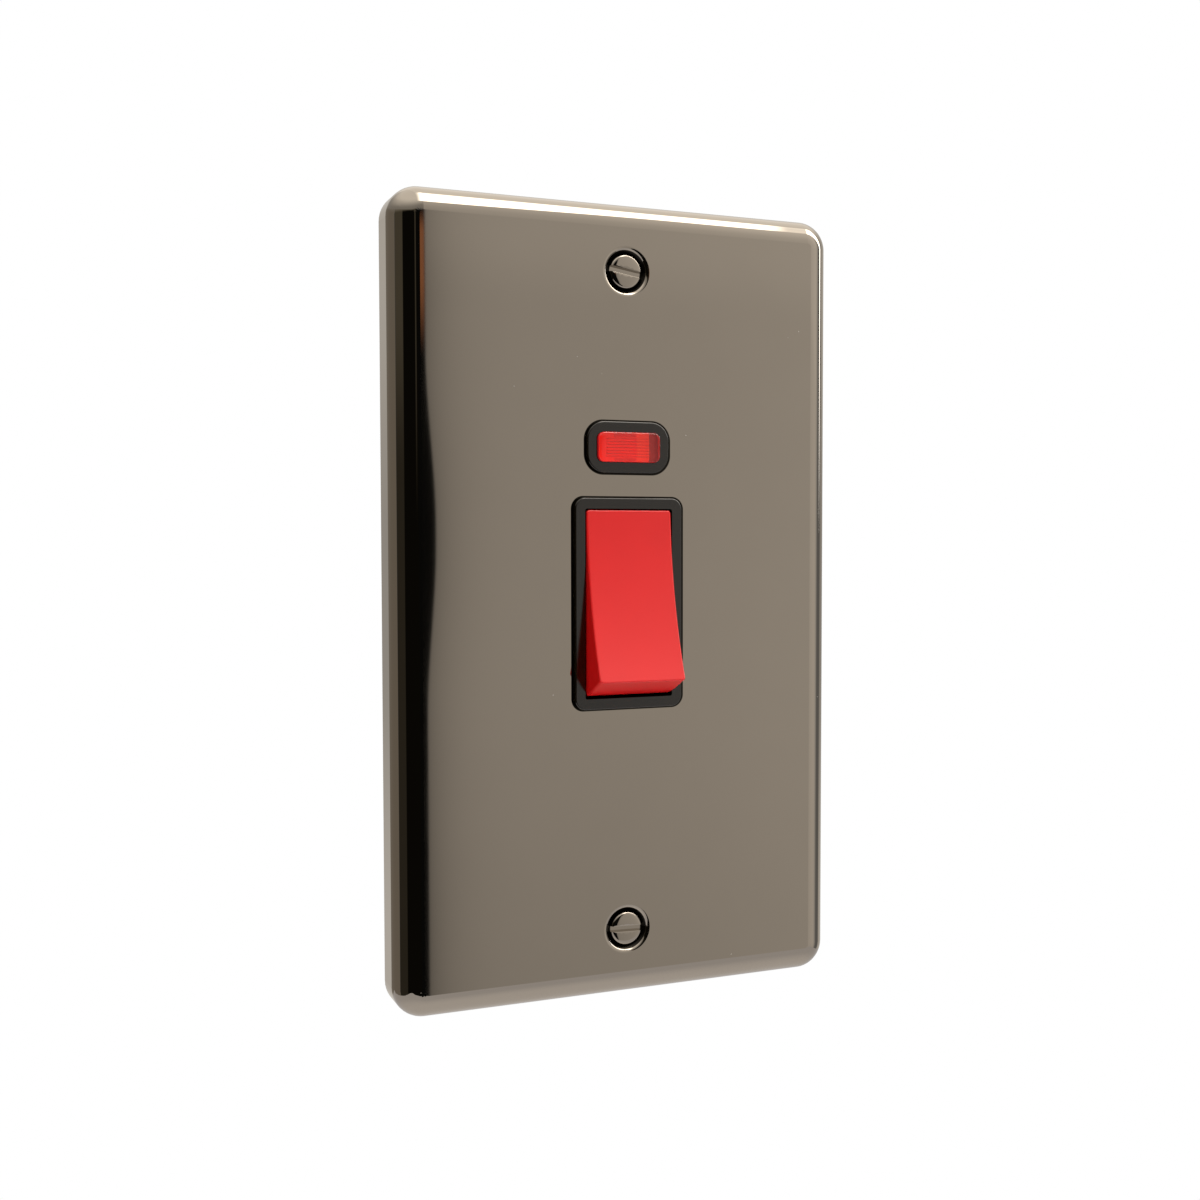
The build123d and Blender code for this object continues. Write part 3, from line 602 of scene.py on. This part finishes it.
def turned_screw():
    """Screws on a grid: a turned head and shank, a milled slot and a cut thread."""
    g = Shape("turned_screw", {
        "Segments": 48, "Head radius": 3.15, "Head rim": 0.85, "Head dome": 0.15,
        "Head edge": 0.6, "Under head": 1.65, "Neck radius": 1.5, "Thread start": 2.25,
        "Thread radius": 1.75, "Thread depth": 0.3, "Pitch": 0.6, "Tail": 25.0, "Point": 0.6,
        "Slot width": 1.05, "Slot depth": 0.9, "Slot lip": 0.2, "Columns": 1, "Rows": 1,
        "Across": 0.0, "Up": 0.0, "First turn": 0.0, "Turn step": 0.0, "Facing sign": 1.0,
        "Seat X": 0.0, "Seat Y": 0.0, "Seat Z": 0.0,
    })
    segments, head, rim, dome, edge = g.sizes(
        "Segments", "Head radius", "Head rim", "Head dome", "Head edge"
    )
    start, major, depth, pitch = g.sizes("Thread start", "Thread radius", "Thread depth", "Pitch")
    neck, under, tail, point = g.sizes("Neck radius", "Under head", "Tail", "Point")
    core = major - depth
    height = rim + dome

    # The dome is part of a ball, and the edge rolls from it into the straight rim
    ball = (head * head + dome * dome) / (dome * 2.0)
    ball_centre = height - ball
    reach = ball - edge
    across = head - edge
    edge_centre = ball_centre + g.maths("SQRT", reach * reach - across * across)
    lean = g.maths("ARCSINE", across / reach)
    dome_steps, edge_steps = 5, 8
    profile = []
    for step in range(dome_steps):
        slope = lean * (step / dome_steps)
        profile.append((ball * g.sine(slope), ball_centre + ball * g.cosine(slope)))
    for step in range(edge_steps + 1):
        share = step / edge_steps
        slope = lean * (1.0 - share) + pi / 2 * share
        profile.append((across + edge * g.sine(slope), edge_centre + edge * g.cosine(slope)))
    point_taper = 0.7
    profile += [
        (head, head * 0.0),
        (neck, -under),
        (neck, -start),
        (core, -start),
        (core, point - tail),
        (core - point * point_taper, -tail),
        (head * 0.0, -tail),
    ]
    last = len(profile) - 1
    blank = g.node("GeometryNodeMeshGrid", {}, {
        "Size X": segments, "Size Y": float(last), "Vertices X": segments + 1.0,
        "Vertices Y": last + 1,
    })
    around, along, _ = g.here()
    angle = around / segments * (2 * pi)
    row = g.maths("FLOOR", along + (last / 2 + 0.5))
    radius = g.choose(row, [r for r, _ in profile])
    level = g.choose(row, [h for _, h in profile])
    body = g.merged(g.moved(blank, radius * g.cosine(angle), radius * g.sine(angle), level))

    # The slot, and a flattened bar set on its corner that breaks the slot's lips
    slot_width, slot_depth, lip = g.sizes("Slot width", "Slot depth", "Slot lip")
    slot_overrun, bar_side, lip_slope = 1.0, 3.0, 0.55
    slot_length = head * 2.0 + slot_overrun
    half = sqrt(0.5)
    cx, cy, cz = g.here()
    cutter = g.moved(g.block(slot_length, slot_width, slot_depth * 2.0), cx, cy, cz + height)
    bar_level = height + (bar_side * half - slot_width * 0.5 - lip) * lip_slope
    bar = g.moved(
        g.block(slot_length, bar_side, bar_side),
        cx,
        (cy - cz) * half,
        (cy + cz) * (half * lip_slope) + bar_level,
    )
    body = g.node(
        "GeometryNodeMeshBoolean",
        {"operation": "DIFFERENCE", "solver": "EXACT"},
        {"Mesh 1": body, "Mesh 2": [cutter, bar]},
    )

    length = tail - point - start
    path = g.helix(core, length, length / pitch, steps=24)
    path = g.node("GeometryNodeSetCurveNormal", {"mode": "Z_UP"}, {"Curve": path})
    thread = g.swept(path, depth, corners=4)
    tx, ty, tz = g.here()
    thread = g.moved(thread, tx, ty, tz - (tail - point))

    row_width, row_height, columns, rows = g.sizes("Across", "Up", "Columns", "Rows")
    places = g.node("GeometryNodeMeshGrid", {}, {
        "Size X": row_width, "Size Y": row_height, "Vertices X": columns, "Vertices Y": rows,
    })
    first, turn_step = g.sizes("First turn", "Turn step")
    turn = (first + turn_step * g.node("GeometryNodeInputIndex")) * DEGREE
    turned = g.node("FunctionNodeEulerToRotation", {}, {0: g.vector(0.0, 0.0, turn)})
    screws = g.node(
        "GeometryNodeInstanceOnPoints",
        {},
        {"Points": places, "Instance": g.joined([body, thread]), "Rotation": turned},
    )
    screws = g.node("GeometryNodeRealizeInstances", {}, {"Geometry": screws})
    sx, sy, sz = g.here()
    facing, seat_x, seat_y, seat_z = g.sizes("Facing sign", "Seat X", "Seat Y", "Seat Z")
    return g.end(g.moved(
        screws, (seat_x + sx) * MM, (seat_y - facing * sz) * MM, (seat_z + facing * sy) * MM
    ))


screw_tree = turned_screw()
screws = {
    "fixing_screws": {
        "Segments": 72, "Rows": 2, "Up": SCREW_PITCH, "First turn": -2.0, "Turn step": -7.0,
        "Seat Y": -8.95,
    },
    "mechanism_screws": {
        "Head radius": 2.8, "Head rim": 1.7, "Head dome": 0.3, "Head edge": 0.65,
        "Under head": 0.0, "Neck radius": 1.3, "Thread start": 0.3, "Thread radius": 1.5,
        "Thread depth": 0.25, "Pitch": 0.5, "Tail": 6.6, "Slot width": 0.9, "Columns": 2,
        "Rows": 2, "Across": 54.0, "Up": 48.0, "First turn": 4.0, "Turn step": 31.0,
        "Facing sign": -1.0, "Seat Y": -1.0,
    },
    "terminal_screws": {
        "Head radius": 2.4, "Head rim": 0.3, "Head dome": 0.1, "Head edge": 0.2,
        "Under head": 0.1, "Neck radius": 2.1, "Thread start": 0.1, "Thread radius": 2.5,
        "Thread depth": 0.4, "Pitch": 0.8, "Tail": 4.7, "Point": 0.4, "Slot width": 0.9,
        "Columns": 2, "Rows": 2, "Across": 18.0, "Up": 56.0, "Facing sign": -1.0,
        "Seat Y": 19.2, "Seat Z": 2.5,
    },
    "earth_screw": {
        "Head radius": 1.9, "Head rim": 0.25, "Head dome": 0.1, "Head edge": 0.2,
        "Under head": 0.1, "Neck radius": 1.65, "Thread start": 0.1, "Thread radius": 2.0,
        "Thread depth": 0.35, "Pitch": 0.7, "Tail": 3.05, "Point": 0.4, "Slot width": 0.9,
        "Facing sign": -1.0, "Seat X": 22.0, "Seat Y": 7.45, "Seat Z": -48.0,
    },
}
screw_finishes = {"fixing_screws": mirror_nickel("black_nickel_screw", NICKEL)}
for node, sizes in screws.items():
    piece = grown("turned_" + node, screw_tree, screw_finishes.get(node, ZINC), sizes)
    fitted(piece, node, "base")


def wound_spring():
    """Compression spring with closed ends, lying along a rocker stem's axis."""
    g = Shape("wound_spring", {
        "Wire radius": 0.22, "Coil radius": 1.15, "Coil pitch": 1.35, "Length": 4.96,
        "Foot": -3.48, "Lean degrees": STEM_LEAN, "Seat X": 0.0, "Seat Y": PIVOT_Y,
    })
    wire, coil, pitch, length = g.sizes("Wire radius", "Coil radius", "Coil pitch", "Length")
    path = g.helix(coil, length, length / pitch, steps=40)
    hx, hy, hz = g.here()
    path = g.moved(path, hx, hy, length * g.smooth(hz / length, 0.0, 1.0))
    spring = g.swept(path, wire, corners=14)
    x, y, z = g.here()
    foot, lean, seat_x, seat_y = g.sizes("Foot", "Lean degrees", "Seat X", "Seat Y")
    lean = lean * DEGREE
    ahead, aside = g.cosine(lean), g.sine(lean)
    along = z + foot
    return g.end(g.moved(
        spring,
        (x + seat_x) * MM,
        (seat_y + y * aside - along * ahead) * MM,
        (y * ahead + along * aside) * MM,
    ))


# Plunger springs, one in each of the rocker's stems, riding on the rocker
spring_tree = wound_spring()
stem_axis = (0.0, -cos(STEM_LEAN * DEGREE), sin(STEM_LEAN * DEGREE))
for side, seat_x in (("left", -STEM_X), ("right", STEM_X)):
    spring = grown("wound_spring_" + side, spring_tree, ZINC, {"Seat X": seat_x}, 50.0)
    fitted(spring, "plunger_spring_" + side, "rocker")
    pivot = (seat_x, PIVOT_Y, 0.0)
    seat = [(start + SPRING_SEAT * way) * MM for start, way in zip(pivot, stem_axis)]
    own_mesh(spring)


def rounded_loop(width, height, corner, y, steps=8):
    """Rounded rectangle about the lamp's middle, at one depth."""
    loop = []
    for quarter, (side, end) in enumerate(((1, 1), (-1, 1), (-1, -1), (1, -1))):
        for step in range(steps + 1):
            turn = pi / 2 * (quarter + step / steps)
            x = side * (width / 2 - corner) + corner * cos(turn)
            z = end * (height / 2 - corner) + corner * sin(turn)
            loop.append((x * MM, y * MM, (LAMP_Z + z) * MM))
    return loop


def lofted(name, loops, finish, sharp):
    """Closed skin over a row of loops, capped at both ends."""
    skin = bmesh.new()
    rings = [[skin.verts.new(point) for point in loop] for loop in loops]
    for ring, following in zip(rings, rings[1:]):
        for i in range(len(ring)):
            j = (i + 1) % len(ring)
            skin.faces.new((ring[i], ring[j], following[j], following[i]))
    skin.faces.new(rings[0])
    skin.faces.new(rings[-1])
    mesh = bpy.data.meshes.new(name)
    skin.to_mesh(mesh)
    skin.free()
    mesh.materials.append(finish)
    return finished_piece(name, mesh, sharp)


def window_loops(steps=6):
    """Loops of the neon window: a rolled front edge, straight walls and a flange behind."""
    loops = []
    for step in range(steps + 1):
        lean = pi / 2 * step / steps
        inset = WINDOW_EDGE * (1 - sin(lean))
        loops.append(rounded_loop(
            WINDOW_WIDTH - 2 * inset,
            WINDOW_HEIGHT - 2 * inset,
            WINDOW_CORNER - inset,
            WINDOW_FRONT + WINDOW_EDGE * (1 - cos(lean)),
        ))
    flange_corner = WINDOW_CORNER + (FLANGE_HEIGHT - WINDOW_HEIGHT) / 2
    return loops + [
        rounded_loop(WINDOW_WIDTH, WINDOW_HEIGHT, WINDOW_CORNER, WINDOW_SEAT),
        rounded_loop(FLANGE_WIDTH, FLANGE_HEIGHT, flange_corner, WINDOW_SEAT),
        rounded_loop(FLANGE_WIDTH, FLANGE_HEIGHT, flange_corner, FLANGE_BACK),
    ]


def ribbed_back():
    """Back of the lens: a slab whose front carries a row of rounded ribs and a lower open end."""
    g = Shape("ribbed_back", {
        "Width": 13.2, "Height": 6.5, "Front": PANEL_FRONT, "Back": PANEL_BACK, "Level": LAMP_Z,
        "Rib pitch": RIB_PITCH, "Rib count": RIB_COUNT, "Rib height": 0.25,
        "Rib length": RIB_LENGTH, "Rib shift": RIB_SHIFT, "Open end": 4.5, "Open depth": 0.3,
        "Columns": 132, "Rows": 132,
    })
    width, height, front, back = g.sizes("Width", "Height", "Front", "Back")
    slab = g.node("GeometryNodeMeshCube", {}, {
        "Size": g.vector(width, back - front, height), "Vertices X": g.size("Columns"),
        "Vertices Y": 2, "Vertices Z": g.size("Rows"),
    })
    x, y, z = g.here()
    pitch, count, rib, length = g.sizes("Rib pitch", "Rib count", "Rib height", "Rib length")
    shift, open_end, open_depth = g.sizes("Rib shift", "Open end", "Open depth")
    end_soft, row_soft = 0.1, 0.05
    wave = abs(g.cosine((z / pitch + count * 0.5 - 0.5) * pi))
    along = 1.0 - g.smooth(abs(x - shift) - length * 0.5, -end_soft, end_soft)
    within = 1.0 - g.smooth(abs(z) - pitch * count * 0.5, -row_soft, row_soft)
    sunk = g.smooth(x - open_end, -end_soft, end_soft) * open_depth
    face = g.maths("LESS_THAN", y, 0.0)
    moved_y = y + (front + back) * 0.5 + face * (sunk - wave * rib * along * within)
    return g.end(g.moved(slab, x * MM, moved_y * MM, (z + g.size("Level")) * MM))


# Neon lens: the clear red window and the ribbed back behind it
lens_window = lofted("lens_window", window_loops(), RED_WINDOW, 40.0)
fitted(lens_window, "neon_lens", "base")
lens_ribs = grown("lens_ribs", ribbed_back(), lens_back("red_lens_back"), {})
fitted(lens_ribs, "neon_lens", "base")

# Studio: what the mirror finish sees, by direction. The front of the plate looks along -Y.
# Angles are in degrees: turn from -Y towards +X, tilt above the level, arch from -Y over the top.
# The strip's ends are given by east, the direction's own X. Level 1 is white.
# A rise or fall is an amount and the two values between which it comes in.
DARK_LEVEL = 0.006
PANEL_LEFT, PANEL_LEFT_SOFT, PANEL_RIGHT = 15.03, 0.03, (58.0, 78.0)
PANEL_LEFT_BOW = (0.35, 0.3, 7.0)
PANEL_LEVEL, PANEL_LEFT_DIM = 0.57, 0.45
PANEL_TURN_RISE = (0.24, 17.0, 50.0)
PANEL_STEP_RISE = (0.06, 9.0, 12.0)
PANEL_ARCH_RISE = (0.30, 4.0, 60.0)
PANEL_FOOT_FALL = (0.08, 4.0, 22.0)
LEFT_WING, LEFT_WING_LEVEL = (-165.0, -96.0, 1.2), 0.26
WING_SHADE, WING_SHADE_LEVEL, WING_SHADE_RISE = (-96.0, -58.0, 2.0), 0.035, (0.065, 2.0, 9.0)
SLIM_LINE, SLIM_LINE_TILT, SLIM_LINE_LEVEL = (-7.5, -2.5, 1.0), (0.0, 8.0), 0.065
RIGHT_GAP, RIGHT_GAP_LEVEL = (66.0, 98.0, 6.0), 0.22
BACKDROP_ENDS, BACKDROP_LEVEL = (-165.0, 98.0, 1.5), 0.45
BACKDROP_RISE, BACKDROP_FOOT_RISE = (0.2, -1.0, 10.0), (0.25, 4.0, 15.0)
BACKDROP_TOP_RISE = (0.78, 20.0, 50.0)
CEILING_TILT, CEILING_LEVEL, CEILING_RISE = (17.0, 24.0), 0.4, (0.9, 24.0, 60.0)
STRIP_LEVEL, STRIP_LOW, STRIP_LOW_RISE = 6.0, 48.0, (12.0, 0.24, 0.4)
STRIP_LOW_SOFT, STRIP_HIGH, STRIP_EAST = 2.0, (84.0, 94.0), (-0.05, 0.24)
STRIP_GAP, STRIP_GAP_DIM = (0.46, 0.488, 0.008), 0.8
TIMBER, TIMBER_LEFT, TIMBER_RIGHT = (0.42, 0.16, 0.065, 1.0), (11.0, 13.0), (14.63, 14.67)
TIMBER_FOOT, TIMBER_TOP = (6.6, 9.8), (11.2, 12.2)
PANEL_TINT, BACKDROP_TINT = (1.04, 0.98, 0.91, 1.0), (1.03, 0.98, 0.91, 1.0)
LEFT_WING_TINT, SHADE_TINT = (1.07, 0.95, 0.8, 1.0), (1.1, 0.97, 0.72, 1.0)
SHADE_TURN = (-94.0, 0.0, 2.0)


def studio_world():
    """World that shows plain white to the camera and the studio's panels to the mirror finish."""
    world = bpy.data.worlds.new("studio")
    scene.world = world
    world.use_nodes = True
    s = Shader(world.node_tree)
    east, north, up = s.parts(s.node("ShaderNodeTexCoord", out="Generated"))
    turn = s.maths("ARCTAN2", east, -north) * (180 / pi)
    tilt = s.maths("ARCSINE", up) * (180 / pi)
    arch = s.maths("ARCTAN2", up, -north) * (180 / pi)

    def rise(value, amount, low, high):
        return amount * s.smooth(value, low, high)

    panel_left = PANEL_LEFT - rise(abs(tilt), *PANEL_LEFT_BOW)
    panel = s.smooth(turn - panel_left, -PANEL_LEFT_SOFT, PANEL_LEFT_SOFT)
    panel = panel * (1.0 - s.smooth(turn, *PANEL_RIGHT))
    panel_fade = 1.0 - PANEL_LEFT_DIM * s.maths("EXPONENT", -s.above(turn, panel_left))
    panel_light = (
        PANEL_LEVEL * panel_fade
        + rise(turn, *PANEL_TURN_RISE)
        + rise(arch, *PANEL_STEP_RISE)
        + rise(arch, *PANEL_ARCH_RISE)
        - rise(-tilt, *PANEL_FOOT_FALL)
    )
    left_wing = s.band(turn, *LEFT_WING)
    wing_shade = s.band(turn, *WING_SHADE) * (WING_SHADE_LEVEL + rise(tilt, *WING_SHADE_RISE))
    slim_line = s.band(turn, *SLIM_LINE) * s.smooth(tilt, *SLIM_LINE_TILT)
    right_gap = s.band(turn, *RIGHT_GAP)
    backdrop = 1.0 - s.band(turn, *BACKDROP_ENDS)
    backdrop_light = (
        BACKDROP_LEVEL
        + rise(tilt, *BACKDROP_RISE)
        + rise(-tilt, *BACKDROP_FOOT_RISE)
        + rise(tilt, *BACKDROP_TOP_RISE)
    )
    ceiling = s.smooth(tilt, *CEILING_TILT) * (1.0 - panel) * (1.0 - backdrop)
    ceiling_light = CEILING_LEVEL + rise(tilt, *CEILING_RISE)
    strip_low = STRIP_LOW + rise(east, *STRIP_LOW_RISE)
    strip = s.smooth(arch - strip_low, -STRIP_LOW_SOFT, STRIP_LOW_SOFT)
    strip = strip * (1.0 - s.smooth(arch, *STRIP_HIGH)) * s.smooth(east, *STRIP_EAST)
    strip = strip * (1.0 - STRIP_GAP_DIM * s.band(east, *STRIP_GAP))

    level = DARK_LEVEL + panel * panel_light + backdrop * backdrop_light + wing_shade
    level = level + LEFT_WING_LEVEL * left_wing + SLIM_LINE_LEVEL * slim_line
    level = level + RIGHT_GAP_LEVEL * right_gap
    level = level * (1.0 - ceiling) + ceiling * ceiling_light
    level = level * (1.0 - strip) + STRIP_LEVEL * strip
    tint = s.mix(panel, grey(1.0), PANEL_TINT)
    tint = s.mix(backdrop, tint, BACKDROP_TINT)
    tint = s.mix(left_wing, tint, LEFT_WING_TINT)
    tint = s.mix(s.band(turn, *SHADE_TURN), tint, SHADE_TINT)
    tint = s.mix(ceiling, tint, BACKDROP_TINT)
    timber = s.smooth(turn, *TIMBER_LEFT) * (1.0 - s.smooth(turn, *TIMBER_RIGHT))
    timber = timber * s.smooth(tilt, *TIMBER_FOOT) * (1.0 - s.smooth(tilt, *TIMBER_TOP))

    def light(colour, strength):
        return s.node("ShaderNodeBackground", {}, {"Color": colour, "Strength": strength})

    lit = s.node("ShaderNodeAddShader", {}, {0: light(tint, level), 1: light(TIMBER, timber)})
    seen, through = s.node("ShaderNodeLightPath", out=("Is Camera Ray", "Is Transmission Ray"))
    shown_world = s.blend(s.larger(seen, through), lit, light(grey(1.0), 1.0))
    s.node("ShaderNodeOutputWorld", {}, {"Surface": shown_world})


studio_world()

# Pale floor below the picture, in metres
FLOOR_Z = -0.3
FLOOR_REACH = 0.5
FLOOR_SHADE = 0.86
FLOOR_MIRRORED, FLOOR_MIRRORED_LEVEL = (0.955, 0.925, 0.93), 0.7
SHADOW_SHARE, SHADOW_REACH = 0.25, (0.12, 0.4)


def floor_finish():
    """White to the camera, a little dimmer in the mirror finish, and matt to the lamps."""
    made, s = material("pale_floor")
    x, y, _ = s.parts(s.place())
    away = s.smooth(s.length(x, y), *SHADOW_REACH)
    seen, mirrored, through = s.node(
        "ShaderNodeLightPath", out=("Is Camera Ray", "Is Glossy Ray", "Is Transmission Ray")
    )
    direct = s.larger(s.larger(seen, mirrored), through)
    matt = s.node("ShaderNodeBsdfDiffuse", {}, {"Color": grey(FLOOR_SHADE)})
    glow = s.node("ShaderNodeEmission", {}, {
        "Color": s.mix(seen, tone(FLOOR_MIRRORED), grey(1.0)),
        "Strength": FLOOR_MIRRORED_LEVEL + (1.0 - FLOOR_MIRRORED_LEVEL) * seen,
    })
    s.shown(s.blend(direct * (1.0 - SHADOW_SHARE + SHADOW_SHARE * away), matt, glow))
    return made


floor_mesh = bpy.data.meshes.new("floor")
floor_corners = ((-1, -1), (1, -1), (1, 1), (-1, 1))
floor_mesh.from_pydata(
    [(x * FLOOR_REACH, y * FLOOR_REACH, FLOOR_Z) for x, y in floor_corners], [], [(0, 1, 2, 3)]
)
floor_mesh.materials.append(floor_finish())
floor = bpy.data.objects.new("floor", floor_mesh)
scene.collection.objects.link(floor)


def soft_lamp(name, place, size, power):
    """Square lamp that faces the plate and shows in no reflection."""
    data = bpy.data.lights.new(name, "AREA")
    data.shape = "RECTANGLE"
    data.size, data.size_y = size, size
    data.energy = power
    lamp = bpy.data.objects.new(name, data)
    scene.collection.objects.link(lamp)
    lamp.location = place
    lamp.rotation_euler = (-Vector(place)).to_track_quat("-Z", "Y").to_euler()
    lamp.visible_camera = False
    lamp.visible_glossy = False


soft_lamp("front_fill", (0.1, -0.7, 0.75), 0.5, 0.9)
soft_lamp("side_fill", (-0.7, -0.15, 0.1), 0.4, 0.7)


def camera_at_viewpoint():
    """Camera at the viewpoint, its axis shifted to its place in the frame."""
    yaw, pitch = radians(CAMERA_YAW), radians(CAMERA_PITCH)
    ahead = Vector((sin(yaw) * cos(pitch), cos(yaw) * cos(pitch), sin(pitch)))
    right = Vector((cos(yaw), -sin(yaw), 0.0))
    above = right.cross(ahead)
    data = bpy.data.cameras.new("camera")
    camera = bpy.data.objects.new("camera", data)
    scene.collection.objects.link(camera)
    data.sensor_width = SENSOR
    data.lens = FOCAL_PIXELS / FRAME_PIXELS * SENSOR
    data.shift_x = (FRAME_PIXELS / 2 - AXIS_PIXEL[0]) / FRAME_PIXELS
    data.shift_y = (AXIS_PIXEL[1] - FRAME_PIXELS / 2) / FRAME_PIXELS
    data.clip_start = CLIP_START
    axes = Matrix((right, above, -ahead)).transposed().to_4x4()
    axes.translation = Vector(CAMERA_AT) * MM
    camera.matrix_world = axes
    return camera


scene.camera = camera_at_viewpoint()
